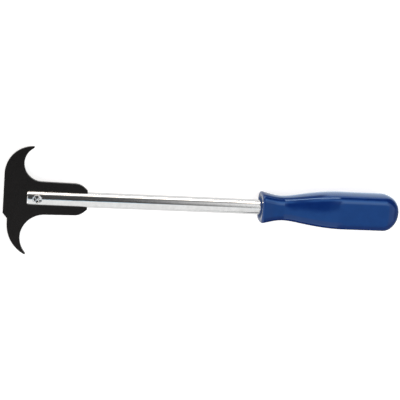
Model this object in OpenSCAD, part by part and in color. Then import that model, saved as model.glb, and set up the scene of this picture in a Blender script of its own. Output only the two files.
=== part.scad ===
// Seal puller: a two-ended hook plate slotted and riveted into a round shaft, with a moulded grip.
// The shaft lies along X, the hooks point along Y and the plate is level. The origin is on the
// shaft's axis, where it leaves the front of the handle.

/* [Shaft] */
// Diameter of the round bar
shaft_d = 12; // [10:0.5:15]
// Bare length from the front of the handle to the head end
shaft_len = 181.4; // [120:0.1:260]
// Length held inside the handle
tang_len = 65; // [40:1:80]
// Length of the lead-in on both ends of the bar
lead_len = 0.6; // [0.4:0.1:2]
// Depth of the lead-in
lead_depth = 0.2; // [0.1:0.02:0.6]

/* [Hook plate] */
// Thickness of the plate
plate_t = 4; // [3:0.1:5]
// Reach of the heel past the end of the shaft
heel_reach = 18.2; // [15:0.1:24]
// Distance of the heel's corner below the shaft's axis
heel_drop = 12.5; // [8:0.1:14]
// Half width of the tail where the hooks run into it
tail_root = 12.7; // [11:0.1:16]
// Half width of the tail where its nose begins
tail_half = 12.3; // [9:0.1:15]
// Length of the tail in the slot
tail_len = 45.6; // [40:0.1:60]
// Radius that rounds each side of the tail into its nose
nose_r = 11; // [6:0.5:14]
// Slope of the nose's straight flank, in degrees
nose_angle = 41; // [25:1:55]
// Width of the nose's straight flank, along the shaft
nose_flank = 2.5; // [0.5:0.1:4]

/* [Big hook] */
// Radius of the outer edge
big_outer_r = 21.8; // [19:0.1:26]
// Outer edge's centre, along the shaft from its end
big_outer_x = 4.2; // [2:0.1:8]
// Outer edge's centre, across the shaft
big_outer_y = 17.9; // [15:0.1:24]
// Radius of the inner edge
big_inner_r = 13.8; // [11:0.1:15]
// Inner edge's centre, along the shaft from its end
big_inner_x = 10.8; // [10:0.1:14]
// Radius of the rounded tip
big_tip_r = 0.65; // [0.4:0.05:1.2]

/* [Small hook] */
// Radius of the outer edge
small_outer_r = 26.4; // [24:0.1:30]
// Outer edge's centre, along the shaft from its end
small_outer_x = 11.5; // [10:0.1:15]
// Outer edge's centre, across the shaft
small_outer_y = 21.3; // [19:0.1:25]
// Radius of the inner edge
small_inner_r = 18.8; // [16:0.1:20]
// Inner edge's centre, along the shaft from its end
small_inner_x = 13.9; // [13:0.1:17]
// Radius of the rounded tip
small_tip_r = 0.55; // [0.4:0.05:1.2]
// Depth of the notch's slope between the heel and the hook's back
notch_depth = 4; // [2:0.1:6]

/* [Rivet] */
// Distance from the end of the shaft
rivet_at = 7.6; // [7:0.1:12]
// Diameter of the shank
rivet_d = 5; // [4:0.1:6]
// Diameter of the countersink at the shaft's crest
sink_d = 7.6; // [6.8:0.1:8.6]
// Half angle of the countersink, in degrees
sink_angle = 30; // [25:1:45]
// Radius of the rolled ring round the closed end
ring_r = 0.55; // [0.4:0.05:0.7]
// Depth of the dished middle below the shaft's crest
dish_drop = 0.7; // [0.4:0.05:1.2]

/* [Handle] */
// Overall length
handle_len = 113; // [95:0.5:130]
// Width of the collar
collar_w = 24.6; // [23:0.1:30]
// Radius of the collar's front edge
collar_round = 1.6; // [0.8:0.1:2]
// Rate at which the collar narrows behind its edge
collar_flare = 0.22; // [0.05:0.01:0.3]
// Place of the waist, from the front
waist_at = 17.6; // [14:0.1:24]
// Width of the waist
waist_w = 19; // [18:0.1:23]
// Place of the middle of the shoulder, from the front
shoulder_at = 36; // [32:0.5:42]
// Width of the shoulder's middle
shoulder_w = 23.7; // [21:0.1:27]
// Rate at which the shoulder's side rises there
shoulder_rise = 0.16; // [0.08:0.004:0.2]
// Place where the straight grip begins, from the front
grip_at = 66; // [56:0.5:72]
// Width of the grip
grip_w = 29.2; // [26:0.1:34]
// Height of the handle between its flats, as a share of its width
flat_share = 0.94; // [0.85:0.01:1]
// Radius of the bowed sides, as a share of the handle's half width
side_bow = 2.8; // [2:0.1:5]
// Radius of the long edges between the flats and the sides
edge_r = 6; // [3:0.1:7]
// Length of the domed end
dome_len = 14; // [9:0.1:18]
// Diameter of the dished recess in the front
recess_d = 18.4; // [16:0.1:19.2]
// Diameter of the recess's floor
recess_floor_d = 14.4; // [13.5:0.1:16]
// Depth of the recess
recess_depth = 2.4; // [1:0.1:4]

/* [Fits] */
// Clearance on each face of the plate in the shaft's slot
slot_clear = 0.05; // [0.02:0.01:0.2]
// Clearance round the rivet
rivet_clear = 0.05; // [0.02:0.01:0.15]
// Clearance round the shaft in the handle
bore_clear = 0.05; // [0.02:0.01:0.15]
// Clearance at the bottom of the slot and of the handle's bore
end_clear = 0.2; // [0.1:0.05:0.5]

/* [Hidden] */

// Smoothness of true round surfaces
$fn = 96;
// Turn between neighbouring points on the plate's arcs, in degrees
arc_step = 4;
// Facets on each long edge of the grip and on each bowed side
edge_facets = 7;
side_facets = 4;
// Sections between two stations of the handle
station_steps = 8;
// Turn between sections on the collar's front edge and on the domed end, in degrees
front_step = 30;
dome_step = 10;
// Share of the section's half width that the edges' radius reaches at the dome's tip
tip_roundness = 0.9;
// Margin by which a cutting shape passes the surface that it cuts
past = 1;

shaft_r = shaft_d / 2;
rivet_r = rivet_d / 2;
sink_r = sink_d / 2;
// Height above the axis at which the countersink narrows to the rivet's hole
sink_floor = shaft_r - (sink_r - rivet_r - rivet_clear) / tan(sink_angle);

// The plate's fixed points, measured from the end of the shaft
big_outer = [big_outer_x, big_outer_y];
big_inner = [big_inner_x, tail_root + big_inner_r];
small_outer = [small_outer_x, -small_outer_y];
small_inner = [small_inner_x, -tail_root - small_inner_r];
heel = [-heel_reach, -heel_drop];
notch = [small_outer_x - small_outer_r, -heel_drop - notch_depth];
// Where the tail's nose begins and where its flank ends
nose_start = tail_len - nose_flank - nose_r * sin(nose_angle);
nose_end_y = tail_half - nose_r * (1 - cos(nose_angle)) - nose_flank * tan(nose_angle);

// Points along an arc
function arc(centre, r, from, to) =
    let (steps = max(2, ceil(abs(to - from) / arc_step)))
    [for (i = [0:steps]) let (a = from + (to - from) * i / steps) centre + r * [cos(a), sin(a)]];

// Where two circles cross, on the left of the line from the first centre to the second
function crossing(c1, r1, c2, r2) =
    let (d = norm(c2 - c1))
    let (along = (r1 * r1 - r2 * r2 + d * d) / (2 * d))
    let (aside = sqrt(r1 * r1 - along * along))
    let (e = (c2 - c1) / d)
    c1 + along * e + aside * [-e.y, e.x];

// Direction from one point to another, in degrees from 0 to 360
function heading(from, to) =
    let (a = atan2(to.y - from.y, to.x - from.x))
    a < 0 ? a + 360 : a;

// Outline of the hook plate, starting at the tail's upper corner and going round by the big hook
function plate_outline() =
    let (big_tip = crossing(big_outer, big_outer_r - big_tip_r, big_inner, big_inner_r + big_tip_r))
    let (small_tip = crossing(small_inner, small_inner_r + small_tip_r,
                              small_outer, small_outer_r - small_tip_r))
    let (big_in = heading(big_inner, big_tip))
    let (big_out = heading(big_outer, big_tip))
    let (small_in = heading(small_inner, small_tip))
    let (small_out = heading(small_outer, small_tip))
    let (nose_turn = 90 - nose_angle)
    concat(
        [[tail_len, nose_end_y]],
        arc([nose_start, tail_half - nose_r], nose_r, nose_turn, 90),
        arc(big_inner, big_inner_r, 270, big_in),
        arc(big_tip, big_tip_r, big_in - 180, big_out),
        arc(big_outer, big_outer_r, big_out, 180),
        [heel, notch],
        arc(small_outer, small_outer_r, 180, small_out),
        arc(small_tip, small_tip_r, small_out, small_in + 180),
        arc(small_inner, small_inner_r, small_in, 90),
        arc([nose_start, nose_r - tail_half], nose_r, 270, 360 - nose_turn),
        [[tail_len, -nose_end_y]]
    );

// Plate of spring steel with a hook on each side and a tail for the slot
module hook_plate() {
    color([0.11, 0.105, 0.105])
    translate([-shaft_len, 0, 0])
    difference() {
        linear_extrude(plate_t, center = true) polygon(plate_outline());
        translate([rivet_at, 0, 0])
        cylinder(r = rivet_r + rivet_clear, h = plate_t + 2 * past, center = true);
    }
}

// Countersink for one end of the rivet, with its wide end past the shaft's crest
module rivet_sink() {
    translate([0, 0, sink_floor])
    cylinder(
        r1 = rivet_r + rivet_clear,
        r2 = sink_r + past * tan(sink_angle),
        h = shaft_r + past - sink_floor
    );
}

// Round bar, slotted for the plate and drilled across for the rivet
module shaft() {
    bar_len = shaft_len + tang_len;
    slot_len = tail_len + end_clear;
    color([0.78, 0.79, 0.8])
    translate([-shaft_len, 0, 0])
    difference() {
        rotate([0, 90, 0])
        rotate_extrude()
        polygon([
            [0, 0],
            [shaft_r - lead_depth, 0],
            [shaft_r, lead_len],
            [shaft_r, bar_len - lead_len],
            [shaft_r - lead_depth, bar_len],
            [0, bar_len]
        ]);
        translate([-past, -shaft_r - past, -plate_t / 2 - slot_clear])
        cube([slot_len + past, shaft_d + 2 * past, plate_t + 2 * slot_clear]);
        translate([rivet_at, 0, 0]) {
            cylinder(r = rivet_r + rivet_clear, h = shaft_d + 2 * past, center = true);
            rivet_sink();
            mirror([0, 0, 1]) rivet_sink();
        }
    }
}

// Half profile of one closed end of the rivet: shank, flared head and rolled ring round a dished middle
module rivet_end() {
    ring_z = shaft_r - ring_r;
    flare_r = rivet_r + (ring_z - sink_floor) * tan(sink_angle);
    polygon([
        [0, 0],
        [rivet_r, 0],
        [rivet_r, sink_floor],
        [flare_r, ring_z],
        [flare_r - 2 * ring_r, ring_z],
        [0, shaft_r - dish_drop]
    ]);
    translate([flare_r - ring_r, ring_z])
    intersection() {
        circle(r = ring_r);
        translate([-past, 0]) square(2 * past);
    }
}

// Rivet through the shaft and the plate, closed into both countersinks
module rivet() {
    color([0.7, 0.71, 0.72])
    translate([rivet_at - shaft_len, 0, 0])
    rotate_extrude() {
        rivet_end();
        mirror([0, 1]) rivet_end();
    }
}

// Half width of the handle at a place between two stations, each [place, half width, rate of change]
function between(a, b, t) =
    let (span = b[0] - a[0])
    (2 * t - 3) * t * t * (a[1] - b[1]) + a[1]
    + span * (t * (t - 1) * (t - 1) * a[2] + t * t * (t - 1) * b[2]);

// Sections of the handle from front to back, each [place, half width, edge radius]
function handle_sections() =
    let (stations = [
        [collar_round, collar_w / 2, -collar_flare],
        [waist_at, waist_w / 2, 0],
        [shoulder_at, shoulder_w / 2, shoulder_rise],
        [grip_at, grip_w / 2, 0]
    ])
    let (dome_at = handle_len - dome_len)
    let (grip_roundness = edge_r / (grip_w / 2))
    concat(
        [for (a = [0:front_step:90 - front_step])
            let (inset = collar_round * (1 - sin(a)))
            [collar_round * (1 - cos(a)), collar_w / 2 - inset, edge_r - inset]],
        [for (k = [0:len(stations) - 2], i = [0:station_steps - 1])
            let (a = stations[k])
            let (b = stations[k + 1])
            [a[0] + (b[0] - a[0]) * i / station_steps, between(a, b, i / station_steps), edge_r]],
        [[grip_at, grip_w / 2, edge_r]],
        [for (a = [0:dome_step:90 - dome_step])
            let (half = grip_w / 2 * cos(a))
            let (roundness = grip_roundness + (tip_roundness - grip_roundness) * sin(a))
            [dome_at + dome_len * sin(a), half, half * roundness]]
    );

// Quarter of one section from its side to its flat: half of the bowed side, then the rounded edge
function quarter_points(half, r) =
    let (bow = side_bow * half)
    let (edge_z = half * flat_share - r)
    let (edge_y = half - bow + sqrt(pow(bow - r, 2) - edge_z * edge_z))
    let (turn = asin(edge_z / (bow - r)))
    concat(
        [for (i = [0:side_facets - 1])
            let (a = turn * i / side_facets)
            [half - bow + bow * cos(a), bow * sin(a)]],
        [for (i = [0:edge_facets])
            let (a = turn + (90 - turn) * i / edge_facets)
            [edge_y + r * cos(a), edge_z + r * sin(a)]]
    );

// Points round one section, side, flat, side and flat
function section_points(place, half, r) =
    let (quarter = quarter_points(half, r))
    let (last = len(quarter) - 1)
    concat(
        [for (i = [0:last]) [place, quarter[i].x, quarter[i].y]],
        [for (i = [last:-1:0]) [place, -quarter[i].x, quarter[i].y]],
        [for (i = [1:last]) [place, -quarter[i].x, -quarter[i].y]],
        [for (i = [last:-1:1]) [place, quarter[i].x, -quarter[i].y]]
    );

// Closed skin over the handle's sections, ending in a point at the back
module handle_form() {
    sections = handle_sections();
    count = len(sections);
    round = 4 * (edge_facets + side_facets) + 2;
    points = concat(
        [for (s = sections) each section_points(s[0], s[1], s[2])],
        [[handle_len, 0, 0]]
    );
    front = [for (j = [0:round - 1]) j];
    sides = [for (k = [0:count - 2], j = [0:round - 1])
        let (n = (j + 1) % round)
        [k * round + j, (k + 1) * round + j, (k + 1) * round + n, k * round + n]];
    back = [for (j = [0:round - 1])
        [(count - 1) * round + j, count * round, (count - 1) * round + (j + 1) % round]];
    polyhedron(points, concat([front], sides, back));
}

// Moulded grip with a dished front and a blind bore for the shaft
module handle() {
    recess_slope = (recess_d - recess_floor_d) / 2 / recess_depth;
    color([0.05, 0.2, 0.46])
    difference() {
        handle_form();
        translate([-past, 0, 0])
        rotate([0, 90, 0]) {
            cylinder(r = shaft_r + bore_clear, h = past + tang_len + end_clear);
            cylinder(
                r1 = recess_d / 2 + past * recess_slope,
                r2 = recess_floor_d / 2,
                h = past + recess_depth
            );
        }
    }
}

hook_plate();
shaft();
rivet();
handle();
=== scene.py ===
# Seal puller: finishes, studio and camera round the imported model.
import math

import bmesh
import bpy
from mathutils import Matrix, Vector, noise


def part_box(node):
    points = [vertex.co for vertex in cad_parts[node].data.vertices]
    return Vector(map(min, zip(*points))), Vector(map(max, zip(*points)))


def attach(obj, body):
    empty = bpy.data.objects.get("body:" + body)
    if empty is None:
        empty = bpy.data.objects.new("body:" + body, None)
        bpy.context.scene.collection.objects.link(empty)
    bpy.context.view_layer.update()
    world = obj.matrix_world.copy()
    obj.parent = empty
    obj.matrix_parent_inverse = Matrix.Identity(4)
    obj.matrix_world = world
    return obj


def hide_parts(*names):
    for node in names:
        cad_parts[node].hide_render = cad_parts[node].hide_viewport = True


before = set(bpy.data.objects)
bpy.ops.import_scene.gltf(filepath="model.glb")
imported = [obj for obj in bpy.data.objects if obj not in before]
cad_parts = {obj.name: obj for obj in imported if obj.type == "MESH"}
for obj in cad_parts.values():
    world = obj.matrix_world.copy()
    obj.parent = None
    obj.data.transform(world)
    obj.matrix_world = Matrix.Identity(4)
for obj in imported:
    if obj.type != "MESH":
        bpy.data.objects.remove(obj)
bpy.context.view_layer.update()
scene = bpy.context.scene

MM = 0.001

# Sizes of the handle, in millimetres, as the solid has them
COLLAR_W = 24.6
COLLAR_ROUND = 1.6
COLLAR_FLARE = 0.22
WAIST_AT = 17.6
WAIST_W = 19.0
SHOULDER_AT = 36.0
SHOULDER_W = 23.7
SHOULDER_RISE = 0.16
GRIP_AT = 66.0
FLAT_SHARE = 0.94
SIDE_BOW = 2.8
EDGE_R = 6.0
DOME_LEN = 14.0
TIP_ROUNDNESS = 0.9
RECESS_D = 18.4
RECESS_FLOOR_D = 14.4
RECESS_DEPTH = 2.4
BORE_CLEAR = 0.05
END_CLEAR = 0.2

# Small roundings of the dished front, in millimetres
BORE_MOUTH = 0.4
BORE_MOUTH_FLARE = 0.05
RECESS_CORNER = 0.3
RECESS_LIP = 0.35
ROUNDING_STEP = 0.02

# Broken edges of the hook plate, in millimetres, along edges sharper than an angle in degrees
PLATE_EDGE = 0.3
PLATE_SHARP = 35.0

# Sizes of the rivet's closed ends, in millimetres and degrees
RIVET_R = 2.5
RING_R = 0.55
SINK_ANGLE = 30.0
DISH_DROP = 0.7

# Unevenness of the rivet's closed ends: height in millimetres, and the noise that makes it
WOBBLE = 0.09
WOBBLES_PER_MM = 0.9
WOBBLE_SEED = 3.7

# The photograph's view: turn towards the handle, tilt over the big hook and roll of the picture in
# degrees, the point in its middle and the distance to it in millimetres, and the angle of view
VIEW_YAW = 8.35
VIEW_PITCH = 11.0
VIEW_ROLL = 4.01
VIEW_TARGET = (-48.3, 3.6, 0.0)
VIEW_DISTANCE = 769.2
VIEW_ANGLE = 23.0


def new_object(name, mesh):
    """Links a mesh to the scene as an object."""
    obj = bpy.data.objects.new(name, mesh)
    scene.collection.objects.link(obj)
    return obj


def lead_normals(mesh, rounded):
    """Smooth shading in which the faces outside rounded keep their own direction."""
    lead = [Vector() for _ in mesh.vertices]
    rest = [Vector() for _ in mesh.vertices]
    for face in mesh.polygons:
        face.use_smooth = True
        target = rest if face.index in rounded else lead
        for index in face.vertices:
            target[index] += face.normal * face.area
    normals = [(a if a.length > 0 else b).normalized() for a, b in zip(lead, rest)]
    mesh.normals_split_custom_set_from_vertices(normals)


def smooth(mesh, angle):
    """Smooth shading, apart from edges sharper than an angle in degrees."""
    for face in mesh.polygons:
        face.use_smooth = True
    mesh.set_sharp_from_angle(angle=math.radians(angle))


def piece(obj, node, slot, *materials):
    """Dresses an object that stands for a CAD node."""
    for material in materials:
        obj.data.materials.append(material)
    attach(obj, "root")
    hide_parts(node)
    return obj


# Helpers for shader nodes

class Maths:
    """Adds nodes that work out a level from numbers."""

    def __init__(self, tree):
        self.tree = tree

    def split(self, kind, output):
        """The three numbers of a node's vector."""
        node = self.tree.nodes.new("ShaderNodeSeparateXYZ")
        self.tree.links.new(self.tree.nodes.new(kind).outputs[output], node.inputs["Vector"])
        return node.outputs["X"], node.outputs["Y"], node.outputs["Z"]

    def maths(self, operation, *values):
        """One operation on numbers or sockets."""
        node = self.tree.nodes.new("ShaderNodeMath")
        node.operation = operation
        for socket, value in zip(node.inputs, values):
            if isinstance(value, (int, float)):
                socket.default_value = value
            else:
                self.tree.links.new(value, socket)
        return node.outputs["Value"]

    def product(self, *values):
        """All the values multiplied."""
        total = values[0]
        for value in values[1:]:
            total = self.maths("MULTIPLY", total, value)
        return total

    def step(self, value, start, end, low=0.0, high=1.0):
        """Runs smoothly from low to high as value goes from start to end."""
        node = self.tree.nodes.new("ShaderNodeMapRange")
        node.interpolation_type = "SMOOTHSTEP"
        for name, number in (("From Min", start), ("From Max", end), ("To Min", low), ("To Max", high)):
            node.inputs[name].default_value = number
        self.tree.links.new(value, node.inputs["Value"])
        return node.outputs["Result"]

    def window(self, value, start, full, fade, end):
        """1 while value is between full and fade, falling smoothly to 0 at start and at end."""
        return self.product(self.step(value, start, full), self.step(value, end, fade))

    def blend(self, share, a, b):
        """a where share is 0, b where it is 1."""
        other = self.maths("SUBTRACT", 1.0, share)
        return self.maths("ADD", self.maths("MULTIPLY", other, a), self.maths("MULTIPLY", share, b))


class Nodes:
    """A small helper that adds nodes to a material and links them."""

    def __init__(self, name):
        self.material = bpy.data.materials.new(name)
        self.material.use_nodes = True
        self.tree = self.material.node_tree
        self.shader = self.tree.nodes["Principled BSDF"]
        self.place = self.add("ShaderNodeTexCoord").outputs["Object"]

    def add(self, kind, **settings):
        """A new node with its settings."""
        node = self.tree.nodes.new(kind)
        for key, value in settings.items():
            setattr(node, key, value)
        return node

    def link(self, source, target):
        """Links two sockets."""
        self.tree.links.new(source, target)

    def feed(self, name, source):
        """Links a source to one of the shader's inputs."""
        self.link(source, self.shader.inputs[name])

    def set(self, **values):
        """Sets the shader's inputs, with an underscore for each space in a name."""
        for key, value in values.items():
            self.shader.inputs[key.replace("_", " ")].default_value = value

    def stretched(self, scale):
        """Object coordinates, stretched by a factor on each axis."""
        node = self.add("ShaderNodeMapping")
        node.inputs["Scale"].default_value = scale
        self.link(self.place, node.inputs["Vector"])
        return node.outputs["Vector"]

    def noise(self, scale, detail=3.0, rough=0.5, vector=None):
        """Noise at a scale per metre, on object coordinates unless a vector is given."""
        node = self.add("ShaderNodeTexNoise")
        node.inputs["Scale"].default_value = scale
        node.inputs["Detail"].default_value = detail
        node.inputs["Roughness"].default_value = rough
        self.link(vector or self.place, node.inputs["Vector"])
        return node.outputs["Fac"]

    def ramp(self, factor, low, high, start=0.3, end=0.7):
        """A colour or value that runs from low to high as factor goes from start to end."""
        node = self.add("ShaderNodeValToRGB")
        for element, value, position in zip(node.color_ramp.elements, (low, high), (start, end)):
            element.color = (*value, 1.0) if isinstance(value, tuple) else (value, value, value, 1.0)
            element.position = position
        self.link(factor, node.inputs["Fac"])
        return node.outputs["Color"]

    def near(self, points, start, end):
        """1 within start of any of the points, 0 beyond end."""
        m = Maths(self.tree)
        nearest = None
        for point in points:
            node = self.add("ShaderNodeVectorMath", operation="DISTANCE")
            self.link(self.place, node.inputs[0])
            node.inputs[1].default_value = point
            away = node.outputs["Value"]
            nearest = away if nearest is None else m.maths("MINIMUM", nearest, away)
        return m.step(nearest, start, end, 1.0, 0.0)

    def bump(self, height, strength, distance):
        """A bump on the shader's surface; distance is in metres."""
        node = self.add("ShaderNodeBump")
        node.inputs["Strength"].default_value = strength
        node.inputs["Distance"].default_value = distance
        self.link(height, node.inputs["Height"])
        self.feed("Normal", node.outputs["Normal"])


# Materials

def blue_plastic():
    """Glossy moulded plastic with a faint cloudiness and a little orange peel."""
    n = Nodes("blue_plastic")
    n.set(IOR=1.76, Specular_Tint=(0.34, 0.61, 1.0, 1.0))
    deep, pale = (0.0032, 0.0225, 0.138), (0.0043, 0.0270, 0.156)
    n.feed("Base Color", n.ramp(n.noise(160.0), deep, pale))
    n.feed("Roughness", n.ramp(n.noise(420.0), 0.02, 0.05))
    n.bump(n.noise(500.0, detail=2.0), 0.03, 0.00002)
    return n.material


def black_steel(name, low, high, rough_low, rough_high):
    """Satin black coating over rolled plate, slightly mottled."""
    n = Nodes(name)
    n.set(IOR=1.36, Specular_Tint=(1.0, 0.90, 0.84, 1.0))
    n.feed("Base Color", n.ramp(n.noise(240.0, detail=5.0), low, high))
    n.feed("Roughness", n.ramp(n.noise(900.0, detail=4.0), rough_low, rough_high))
    n.bump(n.noise(1800.0, detail=4.0, rough=0.6), 0.25, 0.00004)
    return n.material


def plated_bar():
    """Bright plating over drawn bar: fine lines along the bar and a faint mottle."""
    n = Nodes("plated_bar")
    n.set(Metallic=1.0)
    dull, bright = (0.82, 0.82, 0.815), (0.90, 0.90, 0.895)
    n.feed("Base Color", n.ramp(n.noise(260.0, detail=4.0), dull, bright))
    lines = n.noise(1.0, detail=4.0, vector=n.stretched((90.0, 2600.0, 2600.0)))
    n.feed("Roughness", n.ramp(lines, 0.07, 0.14))
    n.bump(lines, 0.10, 0.00003)
    return n.material


def rivet_steel(dents):
    """Bare steel with painted shade, a near-black colour, in the dents of the punch."""
    n = Nodes("rivet_steel")
    n.set(Metallic=1.0)
    bare = n.ramp(n.noise(900.0, detail=4.0), (0.70, 0.705, 0.71), (0.86, 0.86, 0.86))
    # The colours of this node are its inputs 6 and 7 and its output 2
    mix = n.add("ShaderNodeMix", data_type="RGBA")
    n.link(n.near(dents, 0.55 * MM, 1.15 * MM), mix.inputs["Factor"])
    n.link(bare, mix.inputs[6])
    # Painted shade: near the dents the steel turns near-black where their shadow would fall
    mix.inputs[7].default_value = (0.02, 0.021, 0.022, 1.0)
    n.feed("Base Color", mix.outputs[2])
    n.feed("Roughness", n.ramp(n.noise(1500.0), 0.08, 0.18))
    n.bump(n.noise(1300.0, detail=3.0), 0.2, 0.00004)
    return n.material


# Handle

def between(a, b, t):
    """Half width at a place between two stations, each (place, half width, rate of change)."""
    span = b[0] - a[0]
    return (
        (2 * t - 3) * t * t * (a[1] - b[1]) + a[1]
        + span * (t * (t - 1) ** 2 * a[2] + t * t * (t - 1) * b[2])
    )


def handle_sections(length, half_grip):
    """Sections from the front edge to just short of the dome's tip: (place, half width, edge radius)."""
    stations = (
        (COLLAR_ROUND, COLLAR_W / 2, -COLLAR_FLARE),
        (WAIST_AT, WAIST_W / 2, 0.0),
        (SHOULDER_AT, SHOULDER_W / 2, SHOULDER_RISE),
        (GRIP_AT, half_grip, 0.0),
    )
    sections = []
    front_steps, station_steps, grip_steps, dome_steps = 8, 24, 12, 24
    for i in range(front_steps):
        a = math.radians(90 * i / front_steps)
        inset = COLLAR_ROUND * (1 - math.sin(a))
        sections.append((COLLAR_ROUND * (1 - math.cos(a)), COLLAR_W / 2 - inset, EDGE_R - inset))
    for a, b in zip(stations, stations[1:]):
        for i in range(station_steps):
            t = i / station_steps
            sections.append((a[0] + (b[0] - a[0]) * t, between(a, b, t), EDGE_R))
    dome_at = length - DOME_LEN
    for i in range(grip_steps):
        sections.append((GRIP_AT + (dome_at - GRIP_AT) * i / grip_steps, half_grip, EDGE_R))
    for i in range(dome_steps):
        a = math.radians(90 * i / dome_steps)
        half = half_grip * math.cos(a)
        share = EDGE_R / half_grip
        share += (TIP_ROUNDNESS - share) * math.sin(a)
        sections.append((dome_at + DOME_LEN * math.sin(a), half, half * share))
    return sections


def section(half, r, side_steps=8, edge_steps=14, flat_steps=10):
    """Points round a section with two flats and two bowed sides, as (y, z)."""
    bow = SIDE_BOW * half
    edge_z = half * FLAT_SHARE - r
    edge_y = half - bow + math.sqrt((bow - r) ** 2 - edge_z ** 2)
    turn = math.asin(edge_z / (bow - r))
    quarter = []
    for i in range(side_steps):
        a = turn * i / side_steps
        quarter.append((half - bow + bow * math.cos(a), bow * math.sin(a)))
    for i in range(edge_steps):
        a = turn + (math.pi / 2 - turn) * i / edge_steps
        quarter.append((edge_y + r * math.cos(a), edge_z + r * math.sin(a)))
    for i in range(flat_steps):
        quarter.append((edge_y * (1 - i / flat_steps), half * FLAT_SHARE))
    middle = [(0.0, half * FLAT_SHARE)]
    upper = quarter + middle + [(-y, z) for y, z in quarter[::-1]]
    return [Vector(p) for p in upper] + [Vector((y, -z)) for y, z in upper[-2:0:-1]]


def ring_round(points, r):
    """Points on a circle, each in the direction of a given point."""
    return [p.normalized() * r for p in points]


def skin(bm, rings, tail):
    """Quads between neighbouring rings of (x, points), closed by a fan to the point tail."""
    rows = [[bm.verts.new((x * MM, p.x * MM, p.y * MM)) for p in points] for x, points in rings]
    for a, b in zip(rows, rows[1:]):
        for j in range(len(a)):
            k = (j + 1) % len(a)
            bm.faces.new((a[j], a[k], b[k], b[j]))
    last = rows[-1]
    tip = bm.verts.new(Vector(tail) * MM)
    for j in range(len(last)):
        bm.faces.new((last[j], last[(j + 1) % len(last)], tip))
    return rows


def make_handle():
    """The moulded grip, with its dished front and the bore for the shaft."""
    low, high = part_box("handle")
    length = (high.x - low.x) / MM
    half_grip = (high.y - low.y) / 2 / MM
    shaft_low, shaft_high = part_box("shaft")
    bore_r = (shaft_high.z - shaft_low.z) / 2 / MM + BORE_CLEAR
    bore_end = shaft_high.x / MM + END_CLEAR

    outside = [(x, section(half, r)) for x, half, r in handle_sections(length, half_grip)]
    face = outside[0][1]
    recess_r, floor_r = RECESS_D / 2, RECESS_FLOOR_D / 2
    fall = recess_r - floor_r
    inside = [
        (bore_end, bore_r),
        (GRIP_AT / 2, bore_r),
        (RECESS_DEPTH + BORE_MOUTH, bore_r),
        (RECESS_DEPTH, bore_r + BORE_MOUTH_FLARE),
        (RECESS_DEPTH, floor_r - RECESS_CORNER),
        (RECESS_DEPTH - RECESS_CORNER / 3, floor_r + ROUNDING_STEP),
        (RECESS_DEPTH * 0.5, floor_r + fall * 0.5),
        (RECESS_LIP, recess_r - fall * RECESS_LIP / RECESS_DEPTH),
        (RECESS_LIP * 0.3, recess_r - ROUNDING_STEP),
        (0.0, recess_r + RECESS_LIP * 0.6),
    ]
    bm = bmesh.new()
    rows = skin(bm, [(x, ring_round(face, r)) for x, r in inside] + outside, (length, 0, 0))
    bottom = bm.verts.new((bore_end * MM, 0, 0))
    deepest = rows[0]
    for j in range(len(deepest)):
        bm.faces.new((deepest[(j + 1) % len(deepest)], deepest[j], bottom))
    bmesh.ops.recalc_face_normals(bm, faces=bm.faces)
    mesh = bpy.data.meshes.new("grip")
    bm.to_mesh(mesh)
    bm.free()
    smooth(mesh, 50.0)
    return piece(new_object("grip", mesh), "handle", "blue_grip", blue_plastic())


# Hook plate and shaft

def tidy_copy(node):
    """A node's mesh with its split points joined and its flat faces whole."""
    bm = bmesh.new()
    bm.from_mesh(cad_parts[node].data)
    bmesh.ops.remove_doubles(bm, verts=bm.verts, dist=0.002 * MM)
    bmesh.ops.dissolve_limit(bm, angle_limit=math.radians(0.5), verts=bm.verts, edges=bm.edges)
    for face in bm.faces:
        face.material_index = 0
    return bm


def make_plate():
    """The hook plate, with broken edges painted a little lighter, a painted highlight."""
    face = black_steel("black_steel", (0.0028, 0.0024, 0.0025), (0.0054, 0.0047, 0.0048), 0.26, 0.36)
    # Painted highlight: the rounded edges get a lighter copy of the black finish
    edge = black_steel("black_steel_painted_edge_highlight", (0.006, 0.0056, 0.0053), (0.012, 0.0112, 0.0105), 0.24, 0.34)
    bm = tidy_copy("hook_plate")
    limit = math.radians(PLATE_SHARP)
    sharp = [e for e in bm.edges if e.is_manifold and e.calc_face_angle() > limit]
    made = bmesh.ops.bevel(
        bm, geom=sharp, offset=PLATE_EDGE * MM, segments=3, profile=0.5, affect="EDGES", clamp_overlap=True,
    )
    for rounded in made["faces"]:
        rounded.material_index = 1
    mesh = bpy.data.meshes.new("plate")
    bm.to_mesh(mesh)
    bm.free()
    lead_normals(mesh, {f.index for f in mesh.polygons if f.material_index == 1})
    piece(new_object("plate", mesh), "hook_plate", "blackened_steel", face, edge)


def make_shaft():
    """The bright bar with its slot and countersinks."""
    bm = tidy_copy("shaft")
    mesh = bpy.data.meshes.new("bar")
    bm.to_mesh(mesh)
    bm.free()
    smooth(mesh, 10.0)
    piece(new_object("bar", mesh), "shaft", "plated_bar", plated_bar())


# Rivet

# Dents of the closing punch: angle in degrees, then distance from the middle, width and depth in mm
DENTS = (
    (118.0, 1.80, 0.80, 0.55),
    (82.0, 1.75, 0.80, 0.55),
    (186.0, 2.00, 0.85, 0.55),
    (270.0, 1.80, 0.80, 0.50),
    (332.0, 2.60, 0.65, 0.45),
)


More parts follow.
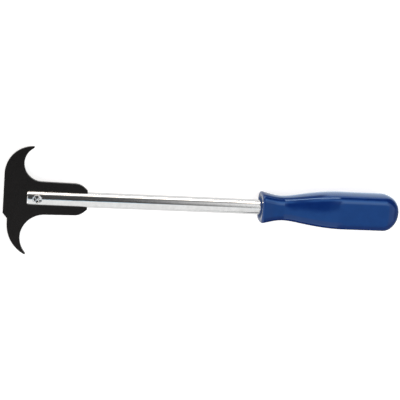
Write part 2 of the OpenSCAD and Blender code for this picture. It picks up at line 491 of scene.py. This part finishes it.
def rivet_height(r, angle, half, flare_r, side):
    """Height of the closed end above the shaft's axis, with the punch's dents."""
    ring_z = half - RING_R
    middle = flare_r - RING_R
    if abs(r - middle) <= RING_R:
        z = ring_z + math.sqrt(max(RING_R ** 2 - (r - middle) ** 2, 0.0))
    else:
        z = half - DISH_DROP + (DISH_DROP - RING_R) * r / (flare_r - 2 * RING_R)
    p = Vector((r * math.cos(angle), r * math.sin(angle) * side))
    for a, away, size, depth in DENTS:
        c = Vector((math.cos(math.radians(a)), math.sin(math.radians(a)))) * away
        z -= depth * math.exp(-((p - c).length / size) ** 2)
    wobble = noise.noise(Vector((p.x * WOBBLES_PER_MM, p.y * WOBBLES_PER_MM, WOBBLE_SEED * side)))
    return z + WOBBLE * wobble * min(1.0, (flare_r - r) / RING_R)


def make_rivet():
    """The rivet: shank, flared ends, rolled rings and the marks of the punch that closed them."""
    low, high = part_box("rivet")
    half = high.z / MM
    flare_r = (high.x - low.x) / 2 / MM
    centre_x = (low.x + high.x) / 2
    sink_floor = half - RING_R - (flare_r - RIVET_R) / math.tan(math.radians(SINK_ANGLE))
    turns, rings = 96, 30
    bm = bmesh.new()

    def row(r, height):
        """One ring of points; height is a number or a function of the angle."""
        made = []
        for j in range(turns):
            a = 2 * math.pi * j / turns
            z = height(a) if callable(height) else height
            made.append(bm.verts.new((centre_x + r * MM * math.cos(a), r * MM * math.sin(a), z * MM)))
        return made

    def end(side):
        """Rings of one closed end, from near the middle out to the flare and down to the shank."""
        rows = []
        for i in range(1, rings + 1):
            r = flare_r * i / rings
            rows.append(row(r, lambda a: side * rivet_height(r, a, half, flare_r, side)))
        rows.append(row(RIVET_R, side * sink_floor))
        return rows

    upper, lower = end(1), end(-1)
    rows = upper + lower[::-1]
    for a, b in zip(rows, rows[1:]):
        for j in range(turns):
            k = (j + 1) % turns
            bm.faces.new((a[j], b[j], b[k], a[k]))
    for (innermost, *_), side in ((upper, 1), (lower, -1)):
        z = side * rivet_height(0.0, 0.0, half, flare_r, side)
        tip = bm.verts.new((centre_x, 0.0, z * MM))
        for j in range(turns):
            bm.faces.new((tip, innermost[j], innermost[(j + 1) % turns]))
    bmesh.ops.recalc_face_normals(bm, faces=bm.faces)
    mesh = bpy.data.meshes.new("rivet_closed")
    bm.to_mesh(mesh)
    bm.free()
    smooth(mesh, 60.0)
    # Only the dents of the end that shows get the painted shade
    dents = []
    for a, away, _, _ in DENTS:
        x = away * math.cos(math.radians(a))
        y = away * math.sin(math.radians(a))
        dents.append((centre_x + x * MM, y * MM, (half - DISH_DROP) * MM))
    return piece(new_object("rivet_closed", mesh), "rivet", "rivet_steel", rivet_steel(dents))


# Studio

# Half the floor's width, in metres
FLOOR_HALF = 3.0

# Colours of the light: WARM for the strip behind the shaft and the small lamp,
# COOL for the panel over the grip and the long lamp
WHITE = (1.0, 1.0, 1.0)
WARM = (1.0, 0.87, 0.75)
COOL = (0.466, 0.762, 1.0)

# Level of the darkest parts of the room
DARK = 0.05

# Colours of the paper, as it is and as the grip mirrors it in a painted reflection, the glow that makes it
# look white to the camera, and the level of its painted reflection as the shaft mirrors it
PAPER = (0.84, 0.81, 0.785)
PAINTED_PAPER_BY_GRIP = (0.86, 1.0, 1.14)
PAPER_GLOW = 0.66
PAINTED_PAPER_BY_SHAFT = 0.82


def make_floor(grip):
    """A pale floor that touches the shaft's end and the underside of the grip, as the tool lies."""
    low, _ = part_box("shaft")
    start = Vector((low.x, 0.0, low.z))
    slope = min((v.co.z - start.z) / (v.co.x - start.x) for v in grip.data.vertices)
    bm = bmesh.new()
    half = FLOOR_HALF
    corners = [(-half, -half), (half, -half), (half, half), (-half, half)]
    bm.faces.new([bm.verts.new((x, y, start.z + slope * (x - start.x))) for x, y in corners])
    mesh = bpy.data.meshes.new("floor")
    bm.to_mesh(mesh)
    bm.free()
    floor = new_object("floor", mesh)
    floor.data.materials.append(floor_material())


def painted_floor_reflections(tree):
    """The paper as polished surfaces show it, a painted reflection: white beside the shaft, cooler and with
    painted shade round the grip.
    """
    m = Maths(tree)
    # Places on the floor in metres, x from the handle's front and y from the shaft's axis
    x, y, _ = m.split("ShaderNodeNewGeometry", "Position")
    by_grip = m.step(x, 0.006, 0.022)
    # Behind the grip the paper has painted shade along the shoulder, and is painted dark past the butt
    painted_shade = m.product(
        m.window(x, 0.004, 0.012, 0.050, 0.060),
        m.window(y, 0.022, 0.029, 0.400, 0.600),
        0.75,
    )
    behind = m.product(m.maths("SUBTRACT", 1.05, painted_shade), m.step(x, 0.125, 0.150, 1.0, 0.1))
    # In front of it the paper is painted dark, a painted shade, and a little lighter past the butt
    painted_dark_in_front = m.step(x, 0.106, 0.118, 0.03, 0.25)
    grip_level = m.blend(m.step(y, -0.002, 0.010), painted_dark_in_front, behind)
    both = tree.nodes.new("ShaderNodeAddShader")
    for socket, colour, level in (
        (both.inputs[0], WHITE, m.blend(by_grip, PAINTED_PAPER_BY_SHAFT, 0.0)),
        (both.inputs[1], PAINTED_PAPER_BY_GRIP, m.product(by_grip, grip_level)),
    ):
        glow = tree.nodes.new("ShaderNodeEmission")
        glow.inputs["Color"].default_value = (*colour, 1.0)
        tree.links.new(level, glow.inputs["Strength"])
        tree.links.new(glow.outputs["Emission"], socket)
    return both.outputs["Shader"]


def floor_material():
    """White paper that keeps the shadow and looks white to the camera; in reflections it is a painted
    reflection, white beside the shaft and with painted shade round the grip.
    """
    material = bpy.data.materials.new("floor_paper")
    material.use_nodes = True
    tree = material.node_tree
    tree.nodes.clear()
    path = tree.nodes.new("ShaderNodeLightPath")
    paper = tree.nodes.new("ShaderNodeBsdfDiffuse")
    paper.inputs["Color"].default_value = (*PAPER, 1.0)
    glow = tree.nodes.new("ShaderNodeEmission")
    glow.inputs["Strength"].default_value = PAPER_GLOW
    seen = tree.nodes.new("ShaderNodeAddShader")
    tree.links.new(paper.outputs["BSDF"], seen.inputs[0])
    tree.links.new(glow.outputs["Emission"], seen.inputs[1])
    painted_reflection = painted_floor_reflections(tree)
    shader = paper.outputs["BSDF"]
    # Glossy and transmission rays see the painted reflection of the paper in place of the lit paper
    for name, other in (
        ("Is Camera Ray", seen.outputs["Shader"]),
        ("Is Glossy Ray", painted_reflection),
        ("Is Transmission Ray", painted_reflection),
    ):
        mix = tree.nodes.new("ShaderNodeMixShader")
        tree.links.new(path.outputs[name], mix.inputs["Fac"])
        tree.links.new(shader, mix.inputs[1])
        tree.links.new(other, mix.inputs[2])
        shader = mix.outputs["Shader"]
    out = tree.nodes.new("ShaderNodeOutputMaterial")
    tree.links.new(shader, out.inputs["Surface"])
    return material


class Room(Maths):
    """Maths on a ray's direction: its lean along and across the tool, and its angle aside, in degrees."""

    def __init__(self, tree):
        super().__init__(tree)
        x, y, z = self.split("ShaderNodeTexCoord", "Generated")
        self.along = self.lean(x, z)
        self.across = self.lean(y, z)
        self.aside = self.maths("DEGREES", self.maths("ARCSINE", x))

    def lean(self, side, height):
        """Angle from one axis towards another, in degrees."""
        return self.maths("DEGREES", self.maths("ARCTAN2", side, height))


def room_light(room):
    """Levels of the room's white light, of the cool light that the grip mirrors and of the warm strip."""
    grip_side = room.step(room.aside, 11.7, 12.6)
    shaft_side = room.maths("SUBTRACT", 1.0, grip_side)

    # The ceiling: a dark opening over the shaft, a pale panel over the grip and a narrow lamp beside it
    panel = room.product(room.step(room.aside, 3.0, 12.0), room.step(room.across, -8.0, 45.0, 0.25, 0.85))
    panel = room.maths("MAXIMUM", panel, room.product(grip_side, 0.7))
    lamp = room.product(
        room.window(room.aside, 12.2, 13.2, 26.0, 54.0),
        room.window(room.across, -12.0, 11.0, 29.0, 39.0),
    )
    ceiling = room.product(room.maths("ADD", panel, DARK), room.maths("SUBTRACT", 1.0, lamp))

    # The pale near side, dimmer lower down beside the grip
    near_grip = room.step(room.across, -75.0, -20.0, 0.25, 0.75)
    near_wall = room.blend(grip_side, 0.88, near_grip)
    level = room.blend(room.step(room.across, -11.2, -11.02), near_wall, ceiling)

    # The far side, which brightens towards a strip of light on the horizon behind the shaft
    far_wall = room.product(room.step(room.across, 46.0, 78.0, 0.0, 0.6), shaft_side)
    far_wall = room.maths("ADD", far_wall, DARK)
    level = room.blend(room.step(room.across, 44.0, 54.0), level, far_wall)
    strip = room.product(room.window(room.across, 73.0, 83.0, 95.0, 105.0), shaft_side, 6.0)

    # The pale end of the room past the hooks, which brightens in two steps
    inner = room.step(room.along, -12.0, -24.0, 0.0, 0.6)
    outer = room.step(room.along, -44.0, -58.0)
    end = room.product(room.maths("ADD", inner, outer), room.step(room.across, 44.0, 30.0))
    end = room.maths("MAXIMUM", room.maths("SUBTRACT", end, level), 0.0)

    # The cool share of the light, where the grip's flat and its shoulder mirror the room
    over_flat = room.product(
        room.window(room.aside, 12.7, 16.7, 33.0, 42.0),
        room.window(room.across, -60.0, -35.0, 30.0, 50.0),
    )
    over_shoulder = room.product(
        room.window(room.aside, -10.0, -6.0, 24.0, 36.0),
        room.window(room.across, -14.0, -12.6, -10.8, -9.4),
    )
    cool = room.product(level, room.maths("MAXIMUM", over_flat, over_shoulder))
    white = room.maths("ADD", room.maths("SUBTRACT", level, cool), end)
    white = room.maths("ADD", white, room.product(lamp, 2.0))
    return white, room.product(cool, 1.3), strip


def make_world():
    """A white backdrop to the camera; else a pale room with a dark opening in its ceiling."""
    world = bpy.data.worlds.new("studio")
    world.use_nodes = True
    scene.world = world
    tree = world.node_tree
    tree.nodes.clear()

    def background(colour, strength=None):
        """Light of one colour, at full strength unless a socket gives it."""
        node = tree.nodes.new("ShaderNodeBackground")
        node.inputs["Color"].default_value = (*colour, 1.0)
        if strength is not None:
            tree.links.new(strength, node.inputs["Strength"])
        return node.outputs["Background"]

    white, cool, strip = room_light(Room(tree))
    lit = background(WHITE, white)
    for colour, strength in ((COOL, cool), (WARM, strip)):
        both = tree.nodes.new("ShaderNodeAddShader")
        tree.links.new(lit, both.inputs[0])
        tree.links.new(background(colour, strength), both.inputs[1])
        lit = both.outputs["Shader"]
    path = tree.nodes.new("ShaderNodeLightPath")
    mix = tree.nodes.new("ShaderNodeMixShader")
    tree.links.new(path.outputs["Is Camera Ray"], mix.inputs["Fac"])
    tree.links.new(lit, mix.inputs[1])
    tree.links.new(background(WHITE), mix.inputs[2])
    out = tree.nodes.new("ShaderNodeOutputWorld")
    tree.links.new(mix.outputs["Shader"], out.inputs["Surface"])


def make_lamp(name, place, target, size, energy, colour, soft):
    """An area lamp that fades towards its edges; soft is the share of each side that fades."""
    data = bpy.data.lights.new(name, "AREA")
    data.shape = "RECTANGLE"
    data.size, data.size_y = size
    data.energy = energy
    data.color = colour
    data.use_nodes = True
    m = Maths(data.node_tree)
    u, v, _ = m.split("ShaderNodeNewGeometry", "Parametric")
    level = m.product(
        m.window(u, 0.0, soft[0], 1.0 - soft[0], 1.0),
        m.window(v, 0.0, soft[1], 1.0 - soft[1], 1.0),
    )
    data.node_tree.links.new(level, data.node_tree.nodes["Emission"].inputs["Strength"])
    lamp = bpy.data.objects.new(name, data)
    lamp.location = place
    ahead = Vector(target) - Vector(place)
    lamp.rotation_euler = ahead.to_track_quat("-Z", "Y").to_euler()
    lamp.visible_camera = False
    scene.collection.objects.link(lamp)
    return lamp


def make_lamps(grip):
    """A small lamp for the edge of the grip's shoulder, and a long one for the upper edge of its flat."""
    make_lamp(
        "shoulder_lamp", (0.056, 0.278, 0.122), (0.048, 0.009, 0.010),
        size=(0.045, 0.085), energy=0.019, colour=WARM, soft=(0.3, 0.3),
    )
    edge_lamp = make_lamp(
        "edge_lamp", (0.145, 0.220, 0.209), (0.145, 0.009, 0.011),
        size=(0.36, 0.30), energy=0.46, colour=COOL, soft=(0.16, 0.5),
    )
    # The long lamp stands for light that reaches the grip alone, so the bright shaft doesn't mirror it
    lit = bpy.data.collections.new("lit_by_edge_lamp")
    lit.objects.link(grip)
    edge_lamp.light_linking.receiver_collection = lit


def make_camera():
    """A camera at the photograph's viewing angle."""
    yaw, pitch, roll = (math.radians(a) for a in (VIEW_YAW, VIEW_PITCH, VIEW_ROLL))
    ahead = Vector((
        math.sin(yaw) * math.cos(pitch), -math.sin(pitch), -math.cos(yaw) * math.cos(pitch),
    ))
    right = ahead.cross(Vector((0, 1, 0))).normalized()
    up = right.cross(ahead)
    turned_right = right * math.cos(roll) + up * math.sin(roll)
    turned_up = up * math.cos(roll) - right * math.sin(roll)
    data = bpy.data.cameras.new("camera")
    data.angle = math.radians(VIEW_ANGLE)
    data.clip_start = 0.01
    camera = bpy.data.objects.new("camera", data)
    place = (Vector(VIEW_TARGET) - ahead * VIEW_DISTANCE) * MM
    axes = Matrix((turned_right, turned_up, -ahead)).transposed().to_4x4()
    camera.matrix_world = Matrix.Translation(place) @ axes
    scene.collection.objects.link(camera)
    scene.camera = camera


make_camera()
make_plate()
make_shaft()
make_rivet()
handle = make_handle()
make_floor(handle)
make_world()
make_lamps(handle)
scene.view_settings.view_transform = "Standard"
